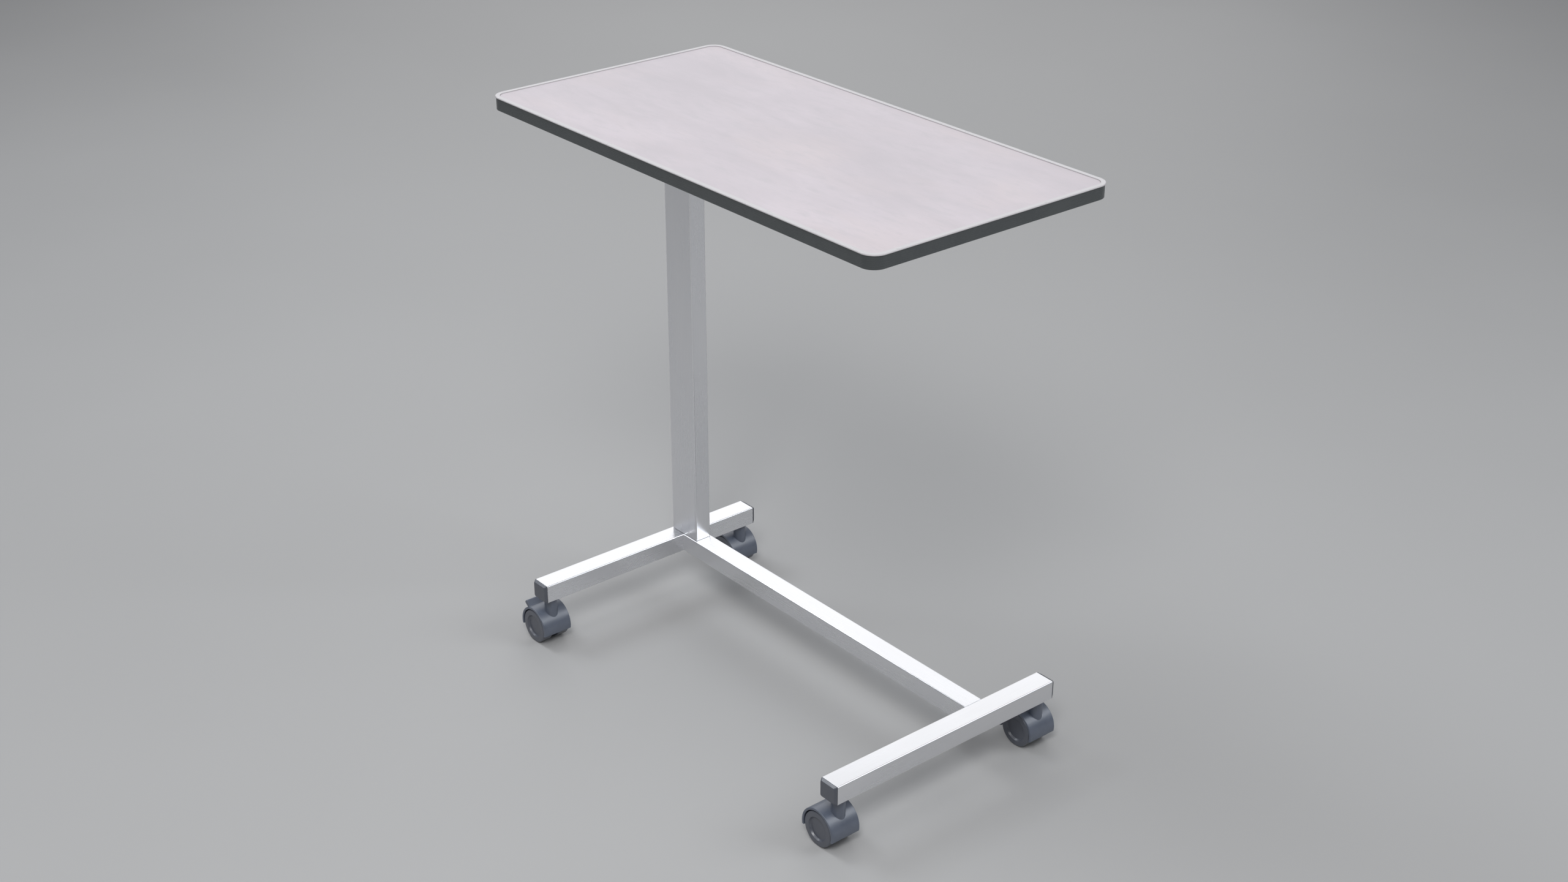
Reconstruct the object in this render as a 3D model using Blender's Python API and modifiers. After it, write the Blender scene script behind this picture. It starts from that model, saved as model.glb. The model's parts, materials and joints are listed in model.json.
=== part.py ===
"""Overbed table on an H-shaped castor base, with a telescoping column.

Frame: +X runs along the top, away from the column; +Y runs to the side where the column stands;
+Z is up. The origin is on the floor under the middle of the top. Metres throughout.
"""
import math

import bmesh
import bpy
from mathutils import Matrix

MM = 0.001
GAP = 0.3 * MM                      # clearance between pieces that touch
SMALL_CHAMFER = 0.8 * MM            # on blocks and plates

# Table top
TOP_LENGTH = 760 * MM
TOP_WIDTH = 380 * MM
TOP_HEIGHT = 817.8 * MM             # floor to the highest point of the lip
TOP_THICKNESS = 18.6 * MM
TOP_CORNER = 20 * MM
LIP_WIDTH = 6.5 * MM
LIP_RISE = 1.0 * MM                 # height of the lip above the laminate
LIP_THICKNESS = 1.7 * MM
LIP_ROUNDING = 0.5 * MM
BAND_INSET = 1.3 * MM
BAND_THICKNESS = 3.0 * MM
LAMINATE = 0.8 * MM
BACKING = 0.9 * MM

# Base bars, one aluminium section for all three
BASE_LENGTH = 670.5 * MM
BAR_WIDTH = 30.7 * MM
BAR_HEIGHT = 27.4 * MM
BAR_TOP = 101.3 * MM
BAR_WALL = 2.0 * MM
BAR_CORNER = 1.5 * MM
CROSSBAR_LENGTH = 380 * MM
PLUG_PLATE = 4.0 * MM
PLUG_INSERT = 33 * MM
PLUG_CHAMFER = 0.8 * MM

# Column: the sleeve rides with the top, the mast stands on the base
COLUMN_X = -304.45 * MM
COLUMN_Y = 71.5 * MM
SLEEVE_SIZE = (58.5 * MM, 26.8 * MM)
SLEEVE_WALL = 2.0 * MM
SLEEVE_CORNER = 2.5 * MM
SLEEVE_TOP = 779.3 * MM
SLEEVE_BOTTOM = 101.8 * MM
WINDOW_HEIGHT = 13 * MM
MAST_SIZE = (50 * MM, 18 * MM)
MAST_WALL = 1.5 * MM
MAST_CORNER = 2.0 * MM
MAST_TOP = 720 * MM
GLIDE_LENGTH = 25 * MM
GLIDE_CORNER = 1.2 * MM
GLIDE_COVER = 3 * MM                # thickness of the top glide over the mast's end
FOOT_BLOCK_HEIGHT = 40 * MM
FOOT_BOLT_RADIUS = 4 * MM
FOOT_BOLT_X = (-320 * MM, -289 * MM)

# Lockable gas spring inside the mast
SPRING_RADIUS = 7 * MM
SPRING_BORE = 5.6 * MM
SPRING_BOTTOM = 370 * MM
SPRING_TOP = 740 * MM
GUIDE_DEPTH = 5 * MM                # end of the cylinder that guides the rod
ANCHOR_Z = 378 * MM
ANCHOR_RADIUS = 3 * MM
BORE_BOTTOM = 388 * MM
PISTON_BOTTOM = 391 * MM            # 300 mm of travel is left above the piston
PISTON_LENGTH = 8 * MM
ROD_RADIUS = 3.1 * MM
ROD_TOP = 762 * MM
HEAD_BOTTOM = 748 * MM
RELEASE_PIN_RADIUS = 1.5 * MM
RELEASE_PIN_TOP = 765 * MM
RELEASE_PIN_LENGTH = 23 * MM
PIN_BORE_DEPTH = 24 * MM

# Under the top: plate, two rails, release lever
PLATE_SIZE = (95 * MM, 224 * MM, 4 * MM)
RAIL_WIDTH = 25 * MM
RAIL_HEIGHT = 15 * MM
RAIL_WALL = 1.5 * MM
RAIL_CORNER = 2.0 * MM
RAIL_Y = 95 * MM
RAIL_START = -345 * MM
RAIL_END = 250 * MM
SCREW_RADIUS = 2 * MM
SCREW_X = (-235 * MM, 0.0, 235 * MM)
LEVER_WIDTH = 14 * MM
LEVER_THICKNESS = 5 * MM
LEVER_NOSE_Y = 67 * MM
LEVER_END_Y = 150 * MM
PIVOT_Y = 95 * MM
PIVOT_RADIUS = 2 * MM
GRIP_SIZE = (44 * MM, 55 * MM, 12 * MM)
GRIP_START_Y = 128 * MM
GRIP_CHAMFER = 3 * MM

# Twin-wheel castors
WHEEL_RADIUS = 25 * MM
WHEEL_WIDTH = 17 * MM
WHEEL_SIDES = 24
TREAD_CHAMFER = 1.3 * MM
DISH_RADIUS = 16.6 * MM             # shallow recess in the wheel's outer face
DISH_DEPTH = 2.4 * MM
WHEEL_BORE_DEPTH = 12.4 * MM
WHEEL_INSET = 0.6 * MM              # wheel's outer face inside the hood's end
CASTOR_WIDTH = 46 * MM
CASTOR_TRAIL = 14.2 * MM
CASTOR_Y = 175.7 * MM
HOOD_RADIUS = 29.7 * MM
HOOD_INNER = 27.0 * MM
HOOD_EDGE_Z = 19 * MM               # lower rim of the hood
WEB_HALF = 4.8 * MM                 # half thickness of the wall between the wheels
BOSS_RADIUS = 9.3 * MM
BOSS_TOP = 73.3 * MM
JOURNAL_RADIUS = 4 * MM
JOURNAL_BOTTOM = 51 * MM
STEM_END_ROOM = 0.8 * MM            # beyond either end of the stem
STEM_RADIUS = 5.5 * MM
STEM_TOP = 95.5 * MM
AXLE_RADIUS = 2.5 * MM
AXLE_LENGTH = 34 * MM
BRAKE_WIDTH = 29 * MM
BRAKE_INNER = 27.3 * MM
BRAKE_ANGLES = (118, 150)           # degrees around the wheel axis, 0 at +X and 90 at the top
TREAD_ANGLES = (134, 146)
TREAD_RADIUS = 41 * MM
SLOT_INNER = 24.3 * MM              # room for the shoe when it is pressed on to the wheels
SLOT_ANGLES = (113, 157)

# Derived places
SCREW_TIP = TOP_HEIGHT - TOP_THICKNESS + BACKING + 10 * MM
BAR_BOTTOM = BAR_TOP - BAR_HEIGHT
BAR_MIDDLE = BAR_TOP - BAR_HEIGHT / 2
CROSSBAR_X = BASE_LENGTH / 2 - BAR_WIDTH / 2
TOP_BOTTOM = TOP_HEIGHT - TOP_THICKNESS
LAMINATE_TOP = TOP_HEIGHT - LIP_RISE
RAIL_TOP = TOP_BOTTOM - GAP
RAIL_BOTTOM = RAIL_TOP - RAIL_HEIGHT
PLATE_BOTTOM = SLEEVE_TOP + GAP
LEVER_Z = RELEASE_PIN_TOP + GAP + LEVER_THICKNESS / 2

TUBE_CORNER_STEPS = 2               # facets on a tube's round corner
TOP_CORNER_STEPS = 5
LEAST_CORNER = 0.4 * MM             # inside a tube whose wall is thicker than its outer corner

PARTS = "overbed_table"
CUTTERS = "cutters"


# ---------------------------------------------------------------- scene and materials
def empty_scene():
    for obj in list(bpy.data.objects):
        bpy.data.objects.remove(obj, do_unlink=True)
    for name in (PARTS, CUTTERS):
        group = bpy.data.collections.new(name)
        bpy.context.scene.collection.children.link(group)


def material(name, colour, roughness, metallic=0.0):
    mat = bpy.data.materials.new(name)
    mat.use_nodes = True
    shader = mat.node_tree.nodes["Principled BSDF"]
    shader.inputs["Base Color"].default_value = (*colour, 1.0)
    shader.inputs["Roughness"].default_value = roughness
    shader.inputs["Metallic"].default_value = metallic
    mat.diffuse_color = (*colour, 1.0)
    return mat


def make_materials():
    return {
        "aluminium": material("satin_aluminium", (0.80, 0.79, 0.82), 0.30, 1.0),
        "steel": material("zinc_steel", (0.55, 0.55, 0.56), 0.35, 1.0),
        "painted": material("grey_painted_steel", (0.42, 0.43, 0.45), 0.45),
        "castor": material("slate_plastic", (0.16, 0.18, 0.22), 0.38),
        "wheel": material("dark_wheel_plastic", (0.09, 0.09, 0.11), 0.45),
        "plug": material("dark_plug_plastic", (0.10, 0.10, 0.12), 0.50),
        "glide": material("white_acetal", (0.80, 0.80, 0.78), 0.40),
        "board": material("particle_board", (0.55, 0.42, 0.28), 0.85),
        "backing": material("grey_backing_sheet", (0.50, 0.50, 0.50), 0.50),
        "laminate": material("pale_laminate", (0.68, 0.64, 0.66), 0.35),
        "lip": material("pale_lip", (0.72, 0.71, 0.73), 0.30),
        "band": material("dark_edge_band", (0.07, 0.08, 0.08), 0.40),
        "black": material("black_plastic", (0.03, 0.03, 0.03), 0.50),
    }


# ---------------------------------------------------------------- modelling helpers
def place(obj, name, mat):
    """Name an object, give it its material and put it with the parts."""
    obj.name = name
    obj.data.name = name
    if mat is not None:
        obj.data.materials.clear()
        obj.data.materials.append(mat)
    bpy.data.collections[PARTS].objects.link(obj)
    return obj


def bevel(obj, width):
    step = obj.modifiers.new("edges", "BEVEL")
    step.width = width
    step.segments = 1
    step.limit_method = "ANGLE"
    step.angle_limit = math.radians(50)
    return obj


def box(name, mat, size, centre, rounding=0.0):
    """A box of the given size about its centre, with its edges chamfered if rounding is set."""
    mesh = bpy.data.meshes.new(name)
    shape = bmesh.new()
    bmesh.ops.create_cube(shape, size=1.0, matrix=Matrix.Diagonal((*size, 1.0)))
    shape.to_mesh(mesh)
    shape.free()
    obj = bpy.data.objects.new(name, mesh)
    obj.location = centre
    place(obj, name, mat)
    if rounding:
        bevel(obj, rounding)
    return obj


AXIS_TURN = {
    "X": (0.0, math.pi / 2, 0.0),
    "Y": (-math.pi / 2, 0.0, 0.0),
    "Z": (0.0, 0.0, 0.0),
}


def rod(name, mat, radius, length, centre, axis="Z", sides=24):
    """A plain cylinder about its centre."""
    mesh = bpy.data.meshes.new(name)
    shape = bmesh.new()
    bmesh.ops.create_cone(shape, cap_ends=True, segments=sides, radius1=radius, radius2=radius,
                          depth=length)
    shape.to_mesh(mesh)
    shape.free()
    obj = bpy.data.objects.new(name, mesh)
    obj.location = centre
    obj.rotation_euler = AXIS_TURN[axis]
    mesh.shade_smooth()
    mesh.set_sharp_from_angle(angle=math.radians(35))
    return place(obj, name, mat)


def turned(name, mat, profile, centre, axis="Z", steps=24):
    """A solid of revolution.

    The profile is (radius, height) pairs from the top down, with both ends on the axis.
    """
    mesh = bpy.data.meshes.new(name)
    shape = bmesh.new()
    points = [shape.verts.new((radius, 0.0, height)) for radius, height in profile]
    for first, second in zip(points, points[1:]):
        shape.edges.new((first, second))
    shape.to_mesh(mesh)
    shape.free()
    obj = bpy.data.objects.new(name, mesh)
    obj.location = centre
    obj.rotation_euler = AXIS_TURN[axis]
    spin = obj.modifiers.new("turn", "SCREW")
    spin.steps = steps
    spin.render_steps = steps
    spin.use_merge_vertices = True
    spin.merge_threshold = 0.00001
    return place(obj, name, mat)


def rounded_rectangle(length, width, radius, corner_steps=TUBE_CORNER_STEPS):
    """Outline of a rectangle with round corners, anticlockwise, about the origin."""
    outline = []
    corners = [(1, 1, 0), (-1, 1, 90), (-1, -1, 180), (1, -1, 270)]
    for side_x, side_y, start in corners:
        centre_x = side_x * (length / 2 - radius)
        centre_y = side_y * (width / 2 - radius)
        for step in range(corner_steps + 1):
            angle = math.radians(start + 90 * step / corner_steps)
            outline.append((centre_x + radius * math.cos(angle), centre_y + radius * math.sin(angle)))
    return outline


def extruded(name, mat, outlines, depth, centre, turn=(0.0, 0.0, 0.0)):
    """A flat outline, with holes if more outlines are given, extruded about its centre.

    The turn takes the outline's plane, XY, to where it belongs. The result is a welded mesh.
    """
    curve = bpy.data.curves.new(name, "CURVE")
    curve.dimensions = "2D"
    curve.fill_mode = "BOTH"
    curve.extrude = depth / 2
    for outline in outlines:
        spline = curve.splines.new("POLY")
        spline.points.add(len(outline) - 1)
        for point, (x, y) in zip(spline.points, outline):
            point.co = (x, y, 0.0, 1.0)
        spline.use_cyclic_u = True
    guide = bpy.data.objects.new(name + "_outline", curve)
    bpy.context.scene.collection.objects.link(guide)
    graph = bpy.context.evaluated_depsgraph_get()
    mesh = bpy.data.meshes.new_from_object(guide.evaluated_get(graph))
    bpy.data.objects.remove(guide, do_unlink=True)
    shape = bmesh.new()
    shape.from_mesh(mesh)
    bmesh.ops.remove_doubles(shape, verts=shape.verts, dist=0.000001)
    shape.to_mesh(mesh)
    shape.free()
    obj = bpy.data.objects.new(name, mesh)
    obj.location = centre
    obj.rotation_euler = turn
    return place(obj, name, mat)


TUBE_TURN = {
    "X": (math.pi / 2, 0.0, math.pi / 2),
    "Y": (math.pi / 2, 0.0, 0.0),
    "Z": (0.0, 0.0, 0.0),
}


def tube(name, mat, size, wall, corner, length, centre, axis):
    """A rectangular tube. Size is its width and its height, or its X and Y size when it stands."""
    inner_corner = max(corner - wall, LEAST_CORNER)
    outer = rounded_rectangle(size[0], size[1], corner)
    inner = rounded_rectangle(size[0] - 2 * wall, size[1] - 2 * wall, inner_corner)
    return extruded(name, mat, [outer, inner], length, centre, TUBE_TURN[axis])


def combine(obj, other, operation):
    """Join another object to obj, or cut it away, and keep the other as a hidden guide."""
    step = obj.modifiers.new(other.name, "BOOLEAN")
    step.operation = operation
    step.solver = "EXACT"
    step.object = other
    other.hide_render = True
    other.display_type = "WIRE"
    bpy.data.collections[PARTS].objects.unlink(other)
    bpy.data.collections[CUTTERS].objects.link(other)
    return obj


def cut(obj, *cutters):
    for cutter in cutters:
        combine(obj, cutter, "DIFFERENCE")
    return obj


def join(obj, *others):
    for other in others:
        combine(obj, other, "UNION")
    return obj


def drill(obj, label, radius, length, centre, axis="Z", sides=16):
    """Cut a round hole in obj."""
    hole = rod(obj.name + "_" + label, None, radius, length, centre, axis, sides)
    return cut(obj, hole)


# ---------------------------------------------------------------- base
def make_crossbar(name, side_x, mats):
    centre_x = side_x * CROSSBAR_X
    bar = tube(name, mats["aluminium"], (BAR_WIDTH, BAR_HEIGHT), BAR_WALL, BAR_CORNER,
               CROSSBAR_LENGTH, (centre_x, 0.0, BAR_MIDDLE), "Y")
    for side_y in (-1, 1):
        drill(bar, f"stem_hole_{side_y}", STEM_RADIUS + GAP, 3 * BAR_WALL,
              (centre_x, side_y * CASTOR_Y, BAR_BOTTOM))
    return bar


def make_longitudinal_bar(mats):
    length = BASE_LENGTH - 2 * BAR_WIDTH - 2 * GAP
    return tube("longitudinal_bar", mats["aluminium"], (BAR_WIDTH, BAR_HEIGHT), BAR_WALL,
                BAR_CORNER, length, (0.0, COLUMN_Y, BAR_MIDDLE), "X")


def make_end_plug(name, side_x, side_y, mats):
    """The cap that closes a crossbar's end, whose insert holds the castor's stem."""
    centre_x = side_x * CROSSBAR_X
    plate_middle = CROSSBAR_LENGTH / 2 + GAP + PLUG_PLATE / 2
    plug = box(name, mats["plug"], (BAR_WIDTH, PLUG_PLATE, BAR_HEIGHT),
               (centre_x, side_y * plate_middle, BAR_MIDDLE), PLUG_CHAMFER)
    insert_size = (BAR_WIDTH - 2 * BAR_WALL - 2 * GAP, PLUG_INSERT + PLUG_PLATE / 2,
                   BAR_HEIGHT - 2 * BAR_WALL - 2 * GAP)
    insert_y = side_y * (plate_middle - insert_size[1] / 2)
    insert = box(name + "_insert", None, insert_size, (centre_x, insert_y, BAR_MIDDLE),
                 PLUG_CHAMFER)
    join(plug, insert)
    bore_top = STEM_TOP + STEM_END_ROOM
    bore_bottom = BAR_BOTTOM - BAR_WALL
    drill(plug, "stem_bore", STEM_RADIUS + GAP, bore_top - bore_bottom,
          (centre_x, side_y * CASTOR_Y, (bore_top + bore_bottom) / 2))


def make_mast(mats):
    bottom = BAR_TOP + GAP
    mast = tube("inner_mast", mats["steel"], MAST_SIZE, MAST_WALL, MAST_CORNER,
                MAST_TOP - bottom, (COLUMN_X, COLUMN_Y, (MAST_TOP + bottom) / 2), "Z")
    drill(mast, "anchor_hole", ANCHOR_RADIUS + GAP, 2 * MAST_SIZE[1],
          (COLUMN_X, COLUMN_Y, ANCHOR_Z), "Y")


def make_mast_foot(bars, mats):
    """The block inside the mast's lower end, and the two bolts that pull it on to the bars."""
    bottom = BAR_TOP + GAP
    size = (MAST_SIZE[0] - 2 * MAST_WALL - 2 * GAP, MAST_SIZE[1] - 2 * MAST_WALL - 2 * GAP,
            FOOT_BLOCK_HEIGHT)
    block = box("mast_foot_block", mats["steel"], size,
                (COLUMN_X, COLUMN_Y, bottom + FOOT_BLOCK_HEIGHT / 2), SMALL_CHAMFER)
    head_height = 5 * MM
    head_radius = 7.5 * MM
    head_top = BAR_BOTTOM - GAP
    shank_top = bottom + 0.7 * FOOT_BLOCK_HEIGHT
    for number, x in enumerate(FOOT_BOLT_X, start=1):
        drill(block, f"bolt_hole_{number}", FOOT_BOLT_RADIUS + GAP, 2 * FOOT_BLOCK_HEIGHT,
              (x, COLUMN_Y, bottom + FOOT_BLOCK_HEIGHT))
        bar = bars[number - 1]
        drill(bar, "bolt_hole", FOOT_BOLT_RADIUS + GAP, 2 * BAR_HEIGHT, (x, COLUMN_Y, BAR_MIDDLE))
        bolt = rod(f"mast_bolt_{number}", mats["steel"], head_radius, head_height,
                   (x, COLUMN_Y, head_top - head_height / 2), sides=6)
        shank_bottom = head_top - head_height / 2
        shank = rod(bolt.name + "_shank", None, FOOT_BOLT_RADIUS, shank_top - shank_bottom,
                    (x, COLUMN_Y, (shank_top + shank_bottom) / 2), sides=16)
        join(bolt, shank)


def glide_outlines():
    """Outer and inner outline of a ring that fills the room between the sleeve and the mast."""
    outer = rounded_rectangle(SLEEVE_SIZE[0] - 2 * SLEEVE_WALL - 2 * GAP,
                              SLEEVE_SIZE[1] - 2 * SLEEVE_WALL - 2 * GAP, GLIDE_CORNER)
    inner = rounded_rectangle(MAST_SIZE[0] + 2 * GAP, MAST_SIZE[1] + 2 * GAP, MAST_CORNER)
    return outer, inner


def make_mast_top_glide(mats):
    """Plastic cap on the mast's upper end, which guides the sleeve from inside."""
    outer, inner = glide_outlines()
    cover_middle = MAST_TOP + GAP + GLIDE_COVER / 2
    ring_bottom = MAST_TOP - GLIDE_LENGTH
    glide = extruded("mast_top_glide", mats["glide"], [outer, inner], cover_middle - ring_bottom,
                     (COLUMN_X, COLUMN_Y, (cover_middle + ring_bottom) / 2))
    cover = extruded("mast_top_glide_cover", None, [outer], GLIDE_COVER,
                     (COLUMN_X, COLUMN_Y, cover_middle))
    join(glide, cover)
    drill(glide, "spring_hole", SPRING_RADIUS + GAP, 4 * GLIDE_COVER,
          (COLUMN_X, COLUMN_Y, cover_middle))


def make_gas_spring_cylinder(mats):
    """Pressure tube with a blind bore, held at its foot by the anchor pin across the mast."""
    chamfer = 1 * MM
    profile = [
        (0.0, SPRING_TOP),
        (SPRING_RADIUS - chamfer, SPRING_TOP),
        (SPRING_RADIUS, SPRING_TOP - chamfer),
        (SPRING_RADIUS, SPRING_BOTTOM + chamfer),
        (SPRING_RADIUS - chamfer, SPRING_BOTTOM),
        (0.0, SPRING_BOTTOM),
    ]
    cylinder = turned("gas_spring_cylinder", mats["black"], profile, (COLUMN_X, COLUMN_Y, 0.0),
                      steps=16)
    bore_top = SPRING_TOP - GUIDE_DEPTH
    drill(cylinder, "bore", SPRING_BORE, bore_top - BORE_BOTTOM,
          (COLUMN_X, COLUMN_Y, (bore_top + BORE_BOTTOM) / 2))
    drill(cylinder, "rod_guide", ROD_RADIUS + GAP, 4 * GUIDE_DEPTH,
          (COLUMN_X, COLUMN_Y, SPRING_TOP))
    drill(cylinder, "anchor_hole", ANCHOR_RADIUS + GAP, 4 * SPRING_RADIUS,
          (COLUMN_X, COLUMN_Y, ANCHOR_Z), "Y")


def make_base(mats):
    rear = make_crossbar("rear_crossbar", -1, mats)
    make_crossbar("front_crossbar", 1, mats)
    middle = make_longitudinal_bar(mats)
    for x_name, side_x in (("rear", -1), ("front", 1)):
        for y_name, side_y in (("left", -1), ("right", 1)):
            make_end_plug(f"{x_name}_{y_name}_end_plug", side_x, side_y, mats)
    make_mast(mats)
    make_mast_foot((rear, middle), mats)
    make_mast_top_glide(mats)
    make_gas_spring_cylinder(mats)
    rod("gas_spring_anchor_pin", mats["steel"], ANCHOR_RADIUS, MAST_SIZE[1],
        (COLUMN_X, COLUMN_Y, ANCHOR_Z), "Y", 16)


# ---------------------------------------------------------------- column and top
def make_sleeve(mats):
    """Outer tube of the column, with the window for the lever and the glide at its foot."""
    sleeve = tube("column_sleeve", mats["aluminium"], SLEEVE_SIZE, SLEEVE_WALL, SLEEVE_CORNER,
                  SLEEVE_TOP - SLEEVE_BOTTOM,
                  (COLUMN_X, COLUMN_Y, (SLEEVE_TOP + SLEEVE_BOTTOM) / 2), "Z")
    window = box("lever_window", None, (LEVER_WIDTH + 3 * MM, 3 * SLEEVE_WALL, WINDOW_HEIGHT),
                 (COLUMN_X, COLUMN_Y + SLEEVE_SIZE[1] / 2, LEVER_Z + 1.7 * MM))
    cut(sleeve, window)
    extruded("sleeve_bottom_glide", mats["glide"], glide_outlines(), GLIDE_LENGTH,
             (COLUMN_X, COLUMN_Y, SLEEVE_BOTTOM + GAP + GLIDE_LENGTH / 2))


def make_release(mats):
    """Gas spring rod with its head and release pin, and the lever that presses the pin."""
    piston_top = PISTON_BOTTOM + PISTON_LENGTH
    profile = [
        (0.0, ROD_TOP),
        (ROD_RADIUS, ROD_TOP),
        (ROD_RADIUS, piston_top),
        (SPRING_BORE - GAP, piston_top),
        (SPRING_BORE - GAP, PISTON_BOTTOM),
        (0.0, PISTON_BOTTOM),
    ]
    gas_rod = turned("gas_spring_rod", mats["steel"], profile, (COLUMN_X, COLUMN_Y, 0.0), steps=16)
    drill(gas_rod, "pin_bore", RELEASE_PIN_RADIUS + GAP, 2 * PIN_BORE_DEPTH,
          (COLUMN_X, COLUMN_Y, ROD_TOP), sides=12)
    rod("release_pin", mats["steel"], RELEASE_PIN_RADIUS, RELEASE_PIN_LENGTH,
        (COLUMN_X, COLUMN_Y, RELEASE_PIN_TOP - RELEASE_PIN_LENGTH / 2), sides=12)
    head_size = (SLEEVE_SIZE[0] - 2 * SLEEVE_WALL - 2 * GAP,
                 SLEEVE_SIZE[1] - 2 * SLEEVE_WALL - 2 * GAP, ROD_TOP - HEAD_BOTTOM)
    head = box("release_head", mats["painted"], head_size,
               (COLUMN_X, COLUMN_Y, (ROD_TOP + HEAD_BOTTOM) / 2), SMALL_CHAMFER)
    drill(head, "rod_hole", ROD_RADIUS + GAP, 4 * head_size[2], (COLUMN_X, COLUMN_Y, HEAD_BOTTOM))


def make_lever(mats):
    """Bracket under the plate, its pivot pin, and the lever with its grip."""
    ear = 2.5 * MM
    ear_x = LEVER_WIDTH / 2 + 0.4 * MM + ear / 2
    bracket_depth = 16 * MM
    bracket_top = PLATE_BOTTOM - GAP
    ear_top = bracket_top - ear / 2
    ear_bottom = LEVER_Z - 6 * MM
    bracket = box("lever_bracket", mats["painted"], (2 * ear_x + ear, bracket_depth, ear),
                  (COLUMN_X, PIVOT_Y, bracket_top - ear / 2))
    for side in (-1, 1):
        wing = box(f"lever_bracket_ear_{side}", None, (ear, bracket_depth, ear_top - ear_bottom),
                   (COLUMN_X + side * ear_x, PIVOT_Y, (ear_top + ear_bottom) / 2))
        join(bracket, wing)
    drill(bracket, "pivot_hole", PIVOT_RADIUS + GAP, 4 * ear_x, (COLUMN_X, PIVOT_Y, LEVER_Z), "X")
    rod("lever_pivot_pin", mats["steel"], PIVOT_RADIUS, 2 * ear_x + 2 * ear,
        (COLUMN_X, PIVOT_Y, LEVER_Z), "X", 16)

    lever = box("release_lever", mats["painted"],
                (LEVER_WIDTH, LEVER_END_Y - LEVER_NOSE_Y, LEVER_THICKNESS),
                (COLUMN_X, (LEVER_END_Y + LEVER_NOSE_Y) / 2, LEVER_Z), SMALL_CHAMFER)
    hub = rod("release_lever_hub", None, LEVER_THICKNESS, LEVER_WIDTH - 0.2 * MM,
              (COLUMN_X, PIVOT_Y, LEVER_Z), "X", 20)
    join(lever, hub)
    drill(lever, "pivot_hole", PIVOT_RADIUS + GAP, 2 * LEVER_WIDTH, (COLUMN_X, PIVOT_Y, LEVER_Z),
          "X")

    grip = box("lever_grip", mats["black"], GRIP_SIZE,
               (COLUMN_X, GRIP_START_Y + GRIP_SIZE[1] / 2, LEVER_Z), GRIP_CHAMFER)
    pocket_end = LEVER_END_Y + GAP
    pocket_start = GRIP_START_Y - LEVER_THICKNESS
    pocket = box("lever_grip_pocket", None,
                 (LEVER_WIDTH + 2 * GAP, pocket_end - pocket_start, LEVER_THICKNESS + 2 * GAP),
                 (COLUMN_X, (pocket_end + pocket_start) / 2, LEVER_Z))
    cut(grip, pocket)


def screw_places():
    return [(x, side_y * RAIL_Y) for side_y in (-1, 1) for x in SCREW_X]


def make_support(mats):
    """Plate on the column's head and the two rails that carry the top, with their screws."""
    box("support_plate", mats["painted"], PLATE_SIZE,
        (COLUMN_X, 0.0, PLATE_BOTTOM + PLATE_SIZE[2] / 2), SMALL_CHAMFER)
    rails = {}
    for name, side_y in (("left", -1), ("right", 1)):
        rails[side_y] = tube(f"{name}_rail", mats["painted"], (RAIL_WIDTH, RAIL_HEIGHT), RAIL_WALL,
                             RAIL_CORNER, RAIL_END - RAIL_START,
                             ((RAIL_START + RAIL_END) / 2, side_y * RAIL_Y,
                              (RAIL_TOP + RAIL_BOTTOM) / 2), "X")
    head_radius = 4.5 * MM
    head_height = 2.6 * MM
    head_top = RAIL_BOTTOM - GAP
    profile = [
        (0.0, SCREW_TIP),
        (SCREW_RADIUS, SCREW_TIP - 3 * MM),
        (SCREW_RADIUS, head_top),
        (head_radius, head_top),
        (0.8 * head_radius, head_top - head_height),
        (0.0, head_top - head_height),
    ]
    for number, (x, y) in enumerate(screw_places(), start=1):
        turned(f"top_screw_{number}", mats["steel"], profile, (x, y, 0.0), steps=12)
        side_y = 1 if y > 0 else -1
        drill(rails[side_y], f"screw_hole_{number}", SCREW_RADIUS + GAP, 2 * RAIL_HEIGHT,
              (x, y, (RAIL_TOP + RAIL_BOTTOM) / 2), sides=12)


def top_outline(inset):
    return rounded_rectangle(TOP_LENGTH - 2 * inset, TOP_WIDTH - 2 * inset, TOP_CORNER - inset,
                             TOP_CORNER_STEPS)


def slab(name, mat, outlines, bottom, top):
    return extruded(name, mat, outlines, top - bottom, (0.0, 0.0, (top + bottom) / 2))


def make_top(mats):
    """Laminated board with a dark edge band and a raised lip."""
    band_inner = BAND_INSET + BAND_THICKNESS
    board_inset = band_inner + GAP
    lip_bottom = TOP_HEIGHT - LIP_THICKNESS
    laminate_bottom = LAMINATE_TOP - LAMINATE
    core_top = laminate_bottom - GAP
    backing_top = TOP_BOTTOM + BACKING
    core_bottom = backing_top + GAP

    core = slab("tabletop_core", mats["board"], [top_outline(board_inset)], core_bottom, core_top)
    backing = slab("tabletop_backing", mats["backing"], [top_outline(board_inset)], TOP_BOTTOM,
                   backing_top)
    slab("tabletop_laminate", mats["laminate"], [top_outline(LIP_WIDTH + GAP)], laminate_bottom,
         LAMINATE_TOP)
    slab("edge_band", mats["band"], [top_outline(BAND_INSET), top_outline(band_inner)], TOP_BOTTOM,
         lip_bottom - GAP)
    lip = slab("edge_lip", mats["lip"], [top_outline(0.0), top_outline(LIP_WIDTH)], lip_bottom,
               TOP_HEIGHT)
    bevel(lip, LIP_ROUNDING)

    hole_end = SCREW_TIP + 1 * MM
    for number, (x, y) in enumerate(screw_places(), start=1):
        drill(core, f"screw_hole_{number}", SCREW_RADIUS + GAP, 2 * (hole_end - core_bottom),
              (x, y, core_bottom), sides=12)
        drill(backing, f"screw_hole_{number}", SCREW_RADIUS + GAP, 6 * BACKING,
              (x, y, TOP_BOTTOM), sides=12)


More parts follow.
